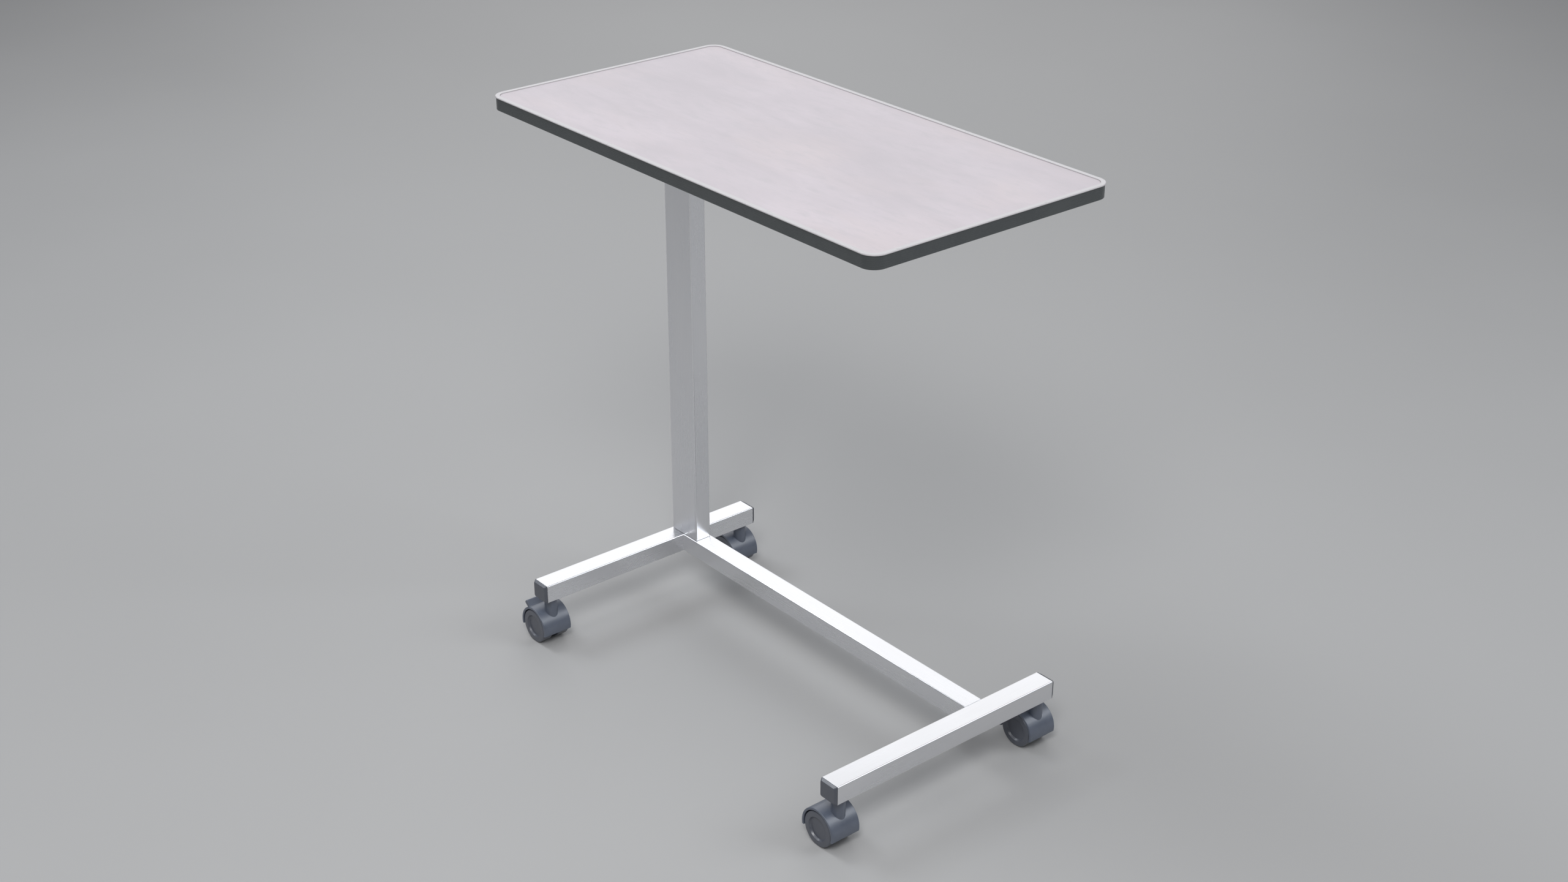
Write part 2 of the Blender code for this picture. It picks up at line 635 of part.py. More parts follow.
# ---------------------------------------------------------------- castors
def make_hood(name, stem_x, centre_y, braked, mats):
    """Hood over both wheels: half a barrel, a wall between the wheels and the swivel boss."""
    axis_x = stem_x - CASTOR_TRAIL
    wheel_centre = (axis_x, centre_y, WHEEL_RADIUS)
    hood = rod(name, mats["castor"], HOOD_RADIUS, CASTOR_WIDTH, wheel_centre, "Y", 40)
    boss_bottom = WHEEL_RADIUS + 2 * AXLE_RADIUS
    boss = rod(name + "_boss", None, BOSS_RADIUS, BOSS_TOP - boss_bottom,
               (stem_x, centre_y, (BOSS_TOP + boss_bottom) / 2), "Z", 20)
    join(hood, boss)
    room_width = CASTOR_WIDTH / 2
    for side in (-1, 1):
        room = rod(f"{name}_wheel_room_{side}", None, HOOD_INNER, room_width,
                   (axis_x, centre_y + side * (WEB_HALF + room_width / 2), WHEEL_RADIUS), "Y", 40)
        cut(hood, room)
    lower_cut = 2 * HOOD_RADIUS
    below = box(name + "_below", None, (3 * HOOD_RADIUS, 2 * CASTOR_WIDTH, lower_cut),
                (axis_x, centre_y, HOOD_EDGE_Z - lower_cut / 2))
    cut(hood, below)
    bore_bottom = JOURNAL_BOTTOM - STEM_END_ROOM
    drill(hood, "journal_bore", JOURNAL_RADIUS + GAP, 2 * (BOSS_TOP - bore_bottom),
          (stem_x, centre_y, BOSS_TOP))
    drill(hood, "axle_hole", AXLE_RADIUS + GAP, CASTOR_WIDTH, wheel_centre, "Y", 16)
    if braked:
        slot = sector(name + "_brake_slot", SLOT_INNER, 1.2 * HOOD_RADIUS, SLOT_ANGLES[0],
                      SLOT_ANGLES[1], BRAKE_WIDTH + 2 * MM, wheel_centre)
        cut(hood, slot)


def arc(radius, start, end, steps):
    """Points along an arc about the origin; angles in degrees."""
    points = []
    for step in range(steps + 1):
        angle = math.radians(start + (end - start) * step / steps)
        points.append((radius * math.cos(angle), radius * math.sin(angle)))
    return points


def sector(name, inner, outer, start, end, width, centre):
    """Part of a ring about an axis along Y, for cutting; angles in degrees, 90 at the top."""
    outline = arc(inner, end, start, 6) + arc(outer, start, end, 6)
    return extruded(name, None, [outline], width, centre, TUBE_TURN["Y"])


def make_brake_pedal(name, stem_x, centre_y, mats):
    """Curved shoe that closes the hood's slot, with the tread plate that a foot presses."""
    start, end = BRAKE_ANGLES
    tread_start, tread_end = TREAD_ANGLES
    outline = (arc(BRAKE_INNER, end, start, 5) + arc(HOOD_RADIUS, start, tread_start, 3)
               + arc(TREAD_RADIUS, tread_start + 2, tread_end - 1, 2)
               + arc(HOOD_RADIUS, tread_end, end, 1))
    extruded(name, mats["castor"], [outline], BRAKE_WIDTH,
             (stem_x - CASTOR_TRAIL, centre_y, WHEEL_RADIUS), TUBE_TURN["Y"])


def wheel_profile():
    """Radius against distance out from the wheel's inner face, outer face first.

    The tread's corners stand a little proud, so that its flats are at the wheel's radius.
    """
    tread = WHEEL_RADIUS / math.cos(math.pi / WHEEL_SIDES)
    dish = WHEEL_WIDTH - DISH_DEPTH
    bore = AXLE_RADIUS + GAP
    return [
        (0.0, dish),
        (DISH_RADIUS - TREAD_CHAMFER, dish),
        (DISH_RADIUS, WHEEL_WIDTH),
        (tread - TREAD_CHAMFER, WHEEL_WIDTH),
        (tread, WHEEL_WIDTH - TREAD_CHAMFER),
        (tread, TREAD_CHAMFER),
        (tread - TREAD_CHAMFER, 0.0),
        (bore, 0.0),
        (bore, WHEEL_BORE_DEPTH),
        (0.0, WHEEL_BORE_DEPTH),
    ]


def make_wheel(name, stem_x, centre_y, side, mats):
    """A wheel on its axle, turned half a side so that it stands on a flat."""
    inner_face = centre_y + side * (CASTOR_WIDTH / 2 - WHEEL_INSET - WHEEL_WIDTH)
    wheel = turned(name, mats["wheel"], wheel_profile(),
                   (stem_x - CASTOR_TRAIL, inner_face, WHEEL_RADIUS), "Y", WHEEL_SIDES)
    lay_down = Matrix.Rotation(-side * math.pi / 2, 4, "X")
    half_side = Matrix.Rotation(math.pi / WHEEL_SIDES, 4, "Z")
    wheel.rotation_euler = (lay_down @ half_side).to_euler()


def make_stem(name, stem_x, centre_y, mats):
    """Castor stem: a journal that turns in the hood, and a thicker end held by the end plug."""
    shoulder = BOSS_TOP + GAP
    chamfer = 0.8 * MM
    profile = [
        (0.0, STEM_TOP),
        (STEM_RADIUS - chamfer, STEM_TOP),
        (STEM_RADIUS, STEM_TOP - chamfer),
        (STEM_RADIUS, shoulder),
        (JOURNAL_RADIUS, shoulder),
        (JOURNAL_RADIUS, JOURNAL_BOTTOM + chamfer),
        (JOURNAL_RADIUS - chamfer, JOURNAL_BOTTOM),
        (0.0, JOURNAL_BOTTOM),
    ]
    turned(name, mats["steel"], profile, (stem_x, centre_y, 0.0), steps=16)


def make_castors(mats):
    for x_name, side_x in (("rear", -1), ("front", 1)):
        for y_name, side_y in (("left", -1), ("right", 1)):
            label = f"{x_name}_{y_name}"
            stem_x = side_x * CROSSBAR_X
            centre_y = side_y * CASTOR_Y
            braked = side_x < 0
            make_stem(f"{label}_castor_stem", stem_x, centre_y, mats)
            make_hood(f"{label}_castor_hood", stem_x, centre_y, braked, mats)
            rod(f"{label}_castor_axle", mats["steel"], AXLE_RADIUS, AXLE_LENGTH,
                (stem_x - CASTOR_TRAIL, centre_y, WHEEL_RADIUS), "Y", 16)
            make_wheel(f"{label}_outer_wheel", stem_x, centre_y, side_y, mats)
            make_wheel(f"{label}_inner_wheel", stem_x, centre_y, -side_y, mats)
            if braked:
                make_brake_pedal(f"{label}_brake_pedal", stem_x, centre_y, mats)


def main():
    empty_scene()
    mats = make_materials()
    make_base(mats)
    make_sleeve(mats)
    make_release(mats)
    make_lever(mats)
    make_support(mats)
    make_top(mats)
    make_castors(mats)


main()
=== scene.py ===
"""Looks of the overbed table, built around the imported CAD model. Metres throughout."""
import json
import math

import bmesh
import bpy
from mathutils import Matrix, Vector


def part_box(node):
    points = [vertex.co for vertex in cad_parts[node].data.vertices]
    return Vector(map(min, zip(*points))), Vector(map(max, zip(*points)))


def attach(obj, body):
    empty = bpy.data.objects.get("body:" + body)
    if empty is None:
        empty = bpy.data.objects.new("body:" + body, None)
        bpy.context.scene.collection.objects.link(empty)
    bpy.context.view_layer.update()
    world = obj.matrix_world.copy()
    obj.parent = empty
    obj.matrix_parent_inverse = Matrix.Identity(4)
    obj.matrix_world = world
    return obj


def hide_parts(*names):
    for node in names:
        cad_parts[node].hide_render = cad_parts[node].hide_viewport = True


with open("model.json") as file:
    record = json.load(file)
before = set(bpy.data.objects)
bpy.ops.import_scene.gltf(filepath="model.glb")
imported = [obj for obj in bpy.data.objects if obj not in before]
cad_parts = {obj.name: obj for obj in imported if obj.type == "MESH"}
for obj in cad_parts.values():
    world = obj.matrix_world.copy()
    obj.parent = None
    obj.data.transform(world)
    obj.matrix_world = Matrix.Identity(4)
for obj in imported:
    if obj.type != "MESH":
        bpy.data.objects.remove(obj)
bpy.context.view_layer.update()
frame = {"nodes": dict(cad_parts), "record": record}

MM = 0.001
RECORD = frame["record"]
BODY_OF = {node: body for body, nodes in RECORD["behaviour"]["bodies"].items() for node in nodes}
SLOT_OF = {row["node"]: row["material_slot"] for row in RECORD["subparts"]}
LABELS = ("rear_left", "rear_right", "front_left", "front_right")


# ---------------------------------------------------------------- procedural materials
class Look:
    """A material under construction: a Principled shader and the nodes that feed it."""

    def __init__(self, name, **sockets):
        self.material = bpy.data.materials.new(name)
        self.material.use_nodes = True
        self.tree = self.material.node_tree
        self.shader = self.tree.nodes["Principled BSDF"]
        for socket, value in sockets.items():
            self.shader.inputs[socket.replace("_", " ")].default_value = value
        self.place = self.tree.nodes.new("ShaderNodeTexCoord").outputs["Object"]

    def link(self, source, target):
        self.tree.links.new(source, target)

    def stretched(self, scale, turn=(0.0, 0.0, 0.0)):
        node = self.tree.nodes.new("ShaderNodeMapping")
        node.inputs["Scale"].default_value = scale
        node.inputs["Rotation"].default_value = turn
        self.link(self.place, node.inputs["Vector"])
        return node.outputs["Vector"]

    def noise(self, size, detail=4.0, rough=0.5, stretch=(1.0, 1.0, 1.0), warp=0.0,
              turn=(0.0, 0.0, 0.0)):
        """Noise whose blobs are about the given size in metres."""
        node = self.tree.nodes.new("ShaderNodeTexNoise")
        node.inputs["Scale"].default_value = 1.0 / size
        node.inputs["Detail"].default_value = detail
        node.inputs["Roughness"].default_value = rough
        node.inputs["Distortion"].default_value = warp
        self.link(self.stretched(stretch, turn), node.inputs["Vector"])
        return node.outputs["Fac"]

    def cells(self, size, stretch=(1.0, 1.0, 1.0)):
        """A random grey for each cell of about the given size."""
        node = self.tree.nodes.new("ShaderNodeTexVoronoi")
        node.inputs["Scale"].default_value = 1.0 / size
        self.link(self.stretched(stretch), node.inputs["Vector"])
        return node.outputs["Color"]

    def span(self, factor, low, high, start=0.3, end=0.7):
        """A number that goes from low to high as the factor goes from start to end."""
        node = self.tree.nodes.new("ShaderNodeMapRange")
        for name, value in (("From Min", start), ("From Max", end), ("To Min", low), ("To Max", high)):
            node.inputs[name].default_value = value
        self.link(factor, node.inputs["Value"])
        return node.outputs["Result"]

    def add(self, first, second):
        node = self.tree.nodes.new("ShaderNodeMath")
        self.link(first, node.inputs[0])
        self.link(second, node.inputs[1])
        return node.outputs["Value"]

    def blend(self, factor, first, second):
        """A colour between two others, each of which is a colour or a socket."""
        node = self.tree.nodes.new("ShaderNodeMix")
        node.data_type = "RGBA"
        self.link(factor, node.inputs["Factor"])
        for name, colour in (("A", first), ("B", second)):
            socket = [s for s in node.inputs if s.name == name and s.type == "RGBA"][0]
            if isinstance(colour, tuple):
                socket.default_value = (*colour, 1.0)
            else:
                self.link(colour, socket)
        return [s for s in node.outputs if s.type == "RGBA"][0]

    def finish(self, colour, roughness, height, depth, strength=1.0):
        self.link(colour, self.shader.inputs["Base Color"])
        self.link(roughness, self.shader.inputs["Roughness"])
        bump = self.tree.nodes.new("ShaderNodeBump")
        bump.inputs["Distance"].default_value = depth
        bump.inputs["Strength"].default_value = strength
        self.link(height, bump.inputs["Height"])
        self.link(bump.outputs["Normal"], self.shader.inputs["Normal"])
        return self.material


def aluminium(axis):
    """Satin anodised extrusion: faint die lines along its axis over a cloudy satin surface."""
    look = Look("satin_aluminium_" + axis, Metallic=1.0)
    along = tuple(0.012 if name == axis else 1.0 for name in "XYZ")
    lines = look.noise(1.1 * MM, 3.0, 0.6, along)
    satin = look.noise(0.35 * MM, 2.0)
    cloud = look.noise(70 * MM, 3.0, 0.5, tuple(0.4 if name == axis else 1.0 for name in "XYZ"))
    tint = look.blend(look.span(cloud, 0.0, 1.0), (0.795, 0.80, 0.825), (0.85, 0.85, 0.865))
    shade = look.blend(look.span(lines, 0.0, 0.22), tint, (0.76, 0.765, 0.79))
    roughness = look.add(look.span(cloud, 0.25, 0.31), look.span(lines, -0.01, 0.02))
    relief = look.add(look.span(lines, 0.0, 0.5), look.span(satin, 0.0, 0.4))
    return look.finish(shade, roughness, relief, 0.008 * MM, 0.2)


def zinc_steel():
    """Zinc plating: faint spangle under an uneven film."""
    look = Look("zinc_plated_steel", Metallic=1.0)
    spangle = look.cells(1.6 * MM)
    film = look.noise(6 * MM, 4.0, 0.6)
    tint = look.blend(look.span(film, 0.0, 1.0), (0.52, 0.53, 0.55), (0.63, 0.62, 0.60))
    shade = look.blend(look.span(spangle, 0.0, 0.25, 0.0, 1.0), tint, (0.70, 0.70, 0.72))
    roughness = look.add(look.span(film, 0.24, 0.36), look.span(spangle, 0.0, 0.06, 0.0, 1.0))
    return look.finish(shade, roughness, look.noise(0.5 * MM, 3.0), 0.01 * MM, 0.4)


def powder_coat():
    """Grey powder coat with orange peel and fine specks."""
    look = Look("grey_powder_coat", Specular_IOR_Level=0.45)
    peel = look.noise(1.3 * MM, 2.0, 0.4)
    speck = look.noise(0.4 * MM, 2.0)
    shade = look.blend(look.span(speck, 0.0, 1.0), (0.36, 0.37, 0.39), (0.43, 0.44, 0.46))
    return look.finish(shade, look.span(peel, 0.38, 0.50), peel, 0.06 * MM, 0.5)


def moulded(name, dark, light, gloss, grain=0.30 * MM, depth=0.02 * MM, shine=0.5):
    """Moulded plastic: fine spark-eroded grain, faint flow clouding and slightly uneven gloss."""
    look = Look(name, Specular_IOR_Level=shine)
    fine = look.noise(grain, 3.0, 0.55)
    flow = look.noise(14 * MM, 3.0, 0.5, warp=0.6)
    shade = look.blend(look.span(flow, 0.0, 1.0), dark, light)
    roughness = look.add(look.span(flow, gloss, gloss + 0.06), look.span(fine, -0.03, 0.04))
    return look.finish(shade, roughness, fine, depth, 0.5)


def laminate():
    """Pale stone-like decor: broad clouds and fine drifts drawn out along the top."""
    look = Look("pale_stone_laminate", Specular_IOR_Level=0.4)
    clouds = look.noise(150 * MM, 5.0, 0.55, (0.55, 1.0, 1.0), 0.8)
    drifts = look.noise(38 * MM, 7.0, 0.62, (0.22, 1.0, 1.0), 0.5)
    warm = look.noise(95 * MM, 3.0, 0.5, (0.5, 1.0, 1.0), 0.4, (0.0, 0.0, 0.9))
    fibre = look.noise(1.6 * MM, 4.0, 0.6, (0.10, 1.0, 1.0))
    flecks = look.noise(11 * MM, 5.0, 0.6, (0.35, 1.0, 1.0), 0.3)
    base = look.blend(look.span(clouds, 0.0, 1.0, 0.34, 0.66),
                      (0.494, 0.446, 0.478), (0.560, 0.502, 0.538))
    drawn = look.blend(look.span(drifts, 0.0, 0.60, 0.45, 0.72), base, (0.478, 0.440, 0.466))
    warmed = look.blend(look.span(warm, 0.0, 0.50, 0.48, 0.70), drawn, (0.572, 0.498, 0.510))
    tinted = look.blend(look.span(flecks, 0.0, 0.55, 0.50, 0.70), warmed, (0.470, 0.436, 0.462))
    shade = look.blend(look.span(fibre, 0.0, 0.22), tinted, (0.49, 0.47, 0.48))
    roughness = look.add(look.span(drifts, 0.34, 0.42), look.span(fibre, -0.02, 0.03))
    pores = look.add(look.noise(0.5 * MM, 2.0), look.span(fibre, 0.0, 0.6))
    return look.finish(shade, roughness, pores, 0.012 * MM, 0.4)


def lip_plastic():
    """Smooth pale plastic, a little glossier than the laminate it frames."""
    look = Look("pale_lip", Specular_IOR_Level=0.4)
    flow = look.noise(30 * MM, 3.0, 0.5)
    fine = look.noise(0.4 * MM, 2.0)
    shade = look.blend(look.span(flow, 0.0, 1.0), (0.502, 0.486, 0.496), (0.536, 0.518, 0.528))
    return look.finish(shade, look.span(flow, 0.26, 0.34), fine, 0.008 * MM, 0.3)


def band_plastic():
    """Glossy dark edging with faint lines from its extrusion, level with the floor."""
    look = Look("dark_edge_band", Specular_IOR_Level=1.0)
    lines = look.noise(0.8 * MM, 3.0, 0.6, (0.02, 0.02, 1.0))
    flow = look.noise(40 * MM, 3.0, 0.5)
    shade = look.blend(look.span(flow, 0.0, 1.0), (0.036, 0.043, 0.045), (0.048, 0.055, 0.057))
    roughness = look.add(look.span(flow, 0.22, 0.30), look.span(lines, -0.02, 0.05))
    return look.finish(shade, roughness, lines, 0.006 * MM, 0.3)


def particle_board():
    """Pressed wood chips, drawn out along the board."""
    look = Look("particle_board", Specular_IOR_Level=0.2)
    chips = look.cells(2.2 * MM, (0.5, 1.0, 2.0))
    dust = look.noise(0.8 * MM, 4.0, 0.6)
    pale = look.blend(look.span(chips, 0.0, 1.0, 0.0, 1.0), (0.40, 0.28, 0.17), (0.66, 0.51, 0.34))
    shade = look.blend(look.span(dust, 0.0, 0.5), pale, (0.48, 0.36, 0.24))
    return look.finish(shade, look.span(dust, 0.80, 0.92), chips, 0.10 * MM, 0.6)


def backing_sheet():
    """Plain grey balancing laminate with a fine mottle."""
    look = Look("grey_backing_sheet", Specular_IOR_Level=0.4)
    mottle = look.noise(1.1 * MM, 3.0, 0.6)
    cloud = look.noise(60 * MM, 3.0)
    plain = look.blend(look.span(cloud, 0.0, 1.0), (0.43, 0.43, 0.44), (0.48, 0.48, 0.485))
    shade = look.blend(look.span(mottle, 0.0, 0.35), plain, (0.38, 0.38, 0.39))
    return look.finish(shade, look.span(mottle, 0.46, 0.56), mottle, 0.02 * MM, 0.4)


LOOKS = {
    "frame_aluminium": aluminium("Z"),
    "zinc_steel": zinc_steel(),
    "painted_steel": powder_coat(),
    "castor_plastic": moulded("slate_castor_plastic", (0.086, 0.102, 0.138), (0.102, 0.120, 0.160),
                              gloss=0.34, shine=1.0),
    "wheel_plastic": moulded("slate_wheel_plastic", (0.072, 0.079, 0.100), (0.084, 0.092, 0.115),
                             gloss=0.32, shine=1.0),
    "plug_plastic": moulded("slate_plug_plastic", (0.060, 0.067, 0.086), (0.070, 0.078, 0.098),
                            gloss=0.34, shine=1.0),
    "glide_plastic": moulded("white_acetal", (0.74, 0.74, 0.71), (0.82, 0.82, 0.79), gloss=0.36),
    "black_plastic": moulded("black_grip_plastic", (0.018, 0.018, 0.020), (0.030, 0.030, 0.032),
                             gloss=0.44, grain=0.5 * MM, depth=0.04 * MM),
    "laminate": laminate(),
    "edge_lip": lip_plastic(),
    "edge_band": band_plastic(),
    "board": particle_board(),
    "backing_sheet": backing_sheet(),
}
BAR_LOOKS = {axis: aluminium(axis) for axis in "XY"}
for node, obj in frame["nodes"].items():
    obj.material_slots[0].material = LOOKS[SLOT_OF[node]]


# ---------------------------------------------------------------- shapes
SHARP_ANGLE = math.radians(38)      # faces that meet at more than this keep a hard edge
ON_AXIS = 1e-9


def new_object(name, shape):
    """An object from a bmesh, with its normals pointing out."""
    bmesh.ops.recalc_face_normals(shape, faces=shape.faces)
    mesh = bpy.data.meshes.new(name)
    shape.to_mesh(mesh)
    shape.free()
    obj = bpy.data.objects.new(name, mesh)
    bpy.context.scene.collection.objects.link(obj)
    return obj


def filleted(points, closed=False, steps=4):
    """An outline of (x, y, fillet radius) points, or (x, y) where the corner stays sharp."""
    outline = []
    count = len(points)
    for index, point in enumerate(points):
        corner = Vector(point[:2])
        radius = point[2] if len(point) > 2 else 0.0
        if radius == 0.0 or (not closed and index in (0, count - 1)):
            outline.append(tuple(corner))
            continue
        back = (Vector(points[index - 1][:2]) - corner).normalized()
        ahead = (Vector(points[(index + 1) % count][:2]) - corner).normalized()
        half = back.angle(ahead) / 2
        centre = corner + (back + ahead).normalized() * (radius / math.sin(half))
        start = corner + back * (radius / math.tan(half)) - centre
        end = corner + ahead * (radius / math.tan(half)) - centre
        sweep = start.angle(end)
        for step in range(steps + 1):
            part = step / steps
            weights = (math.sin((1 - part) * sweep), math.sin(part * sweep))
            outline.append(tuple(centre + (start * weights[0] + end * weights[1]) / math.sin(sweep)))
    return outline


def rounded_rectangle(length, width, radius, steps=8):
    """Outline of a rectangle with round corners, anticlockwise, about the origin."""
    outline = []
    for side_x, side_y, start in ((1, 1, 0), (-1, 1, 90), (-1, -1, 180), (1, -1, 270)):
        for step in range(steps + 1):
            angle = math.radians(start + 90 * step / steps)
            outline.append((side_x * (length / 2 - radius) + radius * math.cos(angle),
                            side_y * (width / 2 - radius) + radius * math.sin(angle)))
    return outline


def oriented(axis, u, v, w):
    """A point from its place across an axis, (u, v), and along it, w."""
    return {"X": (w, u, v), "Y": (u, w, v), "Z": (u, v, w)}[axis]


def loft(name, sections, axis, centre, ring=False):
    """Skin over (outline, distance along the axis) sections; a ring closes on itself, else capped."""
    shape = bmesh.new()
    loops = []
    for outline, w in sections:
        loops.append([shape.verts.new(Vector(oriented(axis, u, v, w)) + Vector(centre))
                      for u, v in outline])
    pairs = list(zip(loops, loops[1:]))
    if ring:
        pairs.append((loops[-1], loops[0]))
    else:
        shape.faces.new(loops[0])
        shape.faces.new(loops[-1])
    for first, second in pairs:
        for index in range(len(first)):
            after = (index + 1) % len(first)
            shape.faces.new((first[index], first[after], second[after], second[index]))
    return new_object(name, shape)


def lathe(name, profile, centre, axis="Z", steps=96):
    """A solid of revolution from (radius, height) points that start and end on the axis."""
    shape = bmesh.new()
    rings = []
    for radius, height in profile:
        if radius < ON_AXIS:
            angles = (0.0,)
        else:
            angles = [2 * math.pi * step / steps for step in range(steps)]
        rings.append([shape.verts.new(Vector(oriented(axis, radius * math.cos(angle),
                                                      radius * math.sin(angle), height))
                                      + Vector(centre)) for angle in angles])
    for first, second in zip(rings, rings[1:]):
        for index in range(steps):
            after = (index + 1) % steps
            corners = [first[index % len(first)], first[after % len(first)],
                       second[after % len(second)], second[index % len(second)]]
            unique = list(dict.fromkeys(corners))
            if len(unique) > 2:
                shape.faces.new(unique)
    return new_object(name, shape)


def prism(name, outline, low, high, axis, centre, edge=0.0):
    """An outline pushed from low to high along an axis, with both rims rounded by edge."""
    obj = loft(name, [(outline, low), (outline, high)], axis, centre)
    if edge:
        shape = bmesh.new()
        shape.from_mesh(obj.data)
        caps = sorted(shape.faces, key=lambda face: len(face.verts))[-2:]
        rims = [rim for cap in caps for rim in cap.edges]
        bmesh.ops.bevel(shape, geom=rims, offset=edge, offset_type="OFFSET", segments=3,
                        profile=0.5, affect="EDGES", clamp_overlap=True)
        shape.to_mesh(obj.data)
        shape.free()
    return obj


def carve(obj, *tools, operation="DIFFERENCE"):
    """Cut tools away from obj, or join them to it, for good."""
    for tool in tools:
        step = obj.modifiers.new("carve", "BOOLEAN")
        step.operation = operation
        step.solver = "EXACT"
        step.object = tool
    graph = bpy.context.evaluated_depsgraph_get()
    mesh = bpy.data.meshes.new_from_object(obj.evaluated_get(graph))
    obj.modifiers.clear()
    obj.data = mesh
    for tool in tools:
        bpy.data.objects.remove(tool, do_unlink=True)
    return obj


def cylinder(radius, low, high, centre, axis="Z", steps=64):
    """A plain round tool for drilling."""
    return lathe("tool", [(0.0, low), (radius, low), (radius, high), (0.0, high)], centre, axis, steps)


def stand_for(obj, *nodes, look=None):
    """Hide the CAD nodes whose place a piece takes; give the piece their body, and the material of
    their slot unless another look is given.
    """
    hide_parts(*nodes)
    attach(obj, BODY_OF[nodes[0]])
    obj.data.materials.clear()
    obj.data.materials.append(look or LOOKS[SLOT_OF[nodes[0]]])
    obj.data.shade_smooth()
    obj.data.set_sharp_from_angle(angle=SHARP_ANGLE)
    weighted = obj.modifiers.new("face_weighted", "WEIGHTED_NORMAL")
    weighted.keep_sharp = True
    return obj


def middle(node):
    """The centre of a CAD node's box."""
    low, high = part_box(node)
    return (low + high) / 2


# ---------------------------------------------------------------- tubes of the frame
TUBE_EDGE = 0.35 * MM
SEAM_EDGE = 0.04 * MM               # where a tube's end stands against another tube
WELD_REACH = 0.35 * MM              # weld that closes the joints of the middle bar
LEAST_CORNER = 0.5 * MM


def tube(name, node, axis, wall, corner, edge=TUBE_EDGE, weld=0.0):
    """A rectangular tube in a CAD node's box, with round corners and softened ends."""
    low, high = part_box(node)
    size = high - low
    along = "XYZ".index(axis)
    across = [size[index] for index in range(3) if index != along]
    centre = (low + high) / 2
    centre[along] = 0.0
    low[along] -= weld
    high[along] += weld
    inner_corner = max(corner - wall, LEAST_CORNER)

    def outside(inset):
        return rounded_rectangle(across[0] - 2 * inset, across[1] - 2 * inset, corner - inset)

    def inside(flare):
        grow = 2 * (flare - wall)
        return rounded_rectangle(across[0] + grow, across[1] + grow, inner_corner + flare)

    bends = [math.radians(30 * step) for step in range(4)]
    start = [(edge * (1 - math.sin(a)), low[along] + edge * (1 - math.cos(a))) for a in bends]
    end = [(inset, low[along] + high[along] - w) for inset, w in reversed(start)]
    sections = [(outside(inset), w) for inset, w in start + end]
    sections += [(inside(inset), w) for inset, w in
                 [(edge, high[along]), (0.0, high[along] - edge),
                  (0.0, low[along] + edge), (edge, low[along])]]
    return loft(name, sections, axis, centre, ring=True)


BAR_WALL = 2.0 * MM
BAR_CORNER = 1.4 * MM
HOLE_ROOM = 0.3 * MM
COLUMN_WALL = 2.0 * MM
COLUMN_CORNER = 2.3 * MM
BOLT_RADIUS = 4.0 * MM
BOLT_HOLE = BOLT_RADIUS + HOLE_ROOM
THROUGH = 0.2                       # further than any bar is tall
WINDOW_WIDTH = 17 * MM              # slot in the sleeve that the release lever passes through
WINDOW_HEIGHT = 13 * MM
WINDOW_CORNER = 1.5 * MM
WINDOW_DROP = 2.3 * MM              # from the lever's underside to the slot's
WINDOW_CUT = 4 * MM


def through_wall(node, radius, depth, z):
    """A tool that drills up through a wall where a CAD node passes it."""
    place = middle(node)
    return cylinder(radius, z - depth, z + depth, (place.x, place.y, 0.0))


bar_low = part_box("front_crossbar")[0]
stem_low, stem_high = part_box("front_left_castor_stem")
stem_radius = (stem_high.x - stem_low.x) / 2
for end in ("rear", "front"):
    node = f"{end}_crossbar"
    bar = tube(f"{end}_crossbar_tube", node, "Y", BAR_WALL, BAR_CORNER)
    tools = [through_wall(f"{end}_{side}_castor_stem", stem_radius + HOLE_ROOM, 2 * BAR_WALL, bar_low.z)
             for side in ("left", "right")]
    if end == "rear":
        tools.append(through_wall("mast_bolt_1", BOLT_HOLE, THROUGH, bar_low.z))
    stand_for(carve(bar, *tools), node, look=BAR_LOOKS["Y"])

bar = tube("longitudinal_bar_tube", "longitudinal_bar", "X", BAR_WALL, BAR_CORNER, SEAM_EDGE,
           WELD_REACH)
carve(bar, through_wall("mast_bolt_2", BOLT_HOLE, THROUGH, bar_low.z))
stand_for(bar, "longitudinal_bar", look=BAR_LOOKS["X"])

sleeve = tube("column_sleeve_tube", "column_sleeve", "Z", COLUMN_WALL, COLUMN_CORNER,
              SEAM_EDGE)
lever_low, lever_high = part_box("release_lever")
window = prism("tool", rounded_rectangle(WINDOW_WIDTH, WINDOW_HEIGHT, WINDOW_CORNER),
               -WINDOW_CUT, WINDOW_CUT, "Y",
               (middle("release_lever").x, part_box("column_sleeve")[1].y,
                lever_low.z - WINDOW_DROP + WINDOW_HEIGHT / 2))
stand_for(carve(sleeve, window), "column_sleeve")


# ---------------------------------------------------------------- end plugs
PLUG_CAP = 4.0 * MM                 # thickness of the part outside the bar
PLUG_SLOPE = 2.0 * MM               # how far the cap's sides draw in towards its face
PLUG_ROUND = 0.5 * MM
PLUG_BREAK = 0.25 * MM              # eased edge where the cap meets the bar
INSERT_LEAD = 0.6 * MM
INSERT_CORNER = 0.8 * MM
STEM_ROOM = 0.8 * MM                # beyond either end of a castor's stem


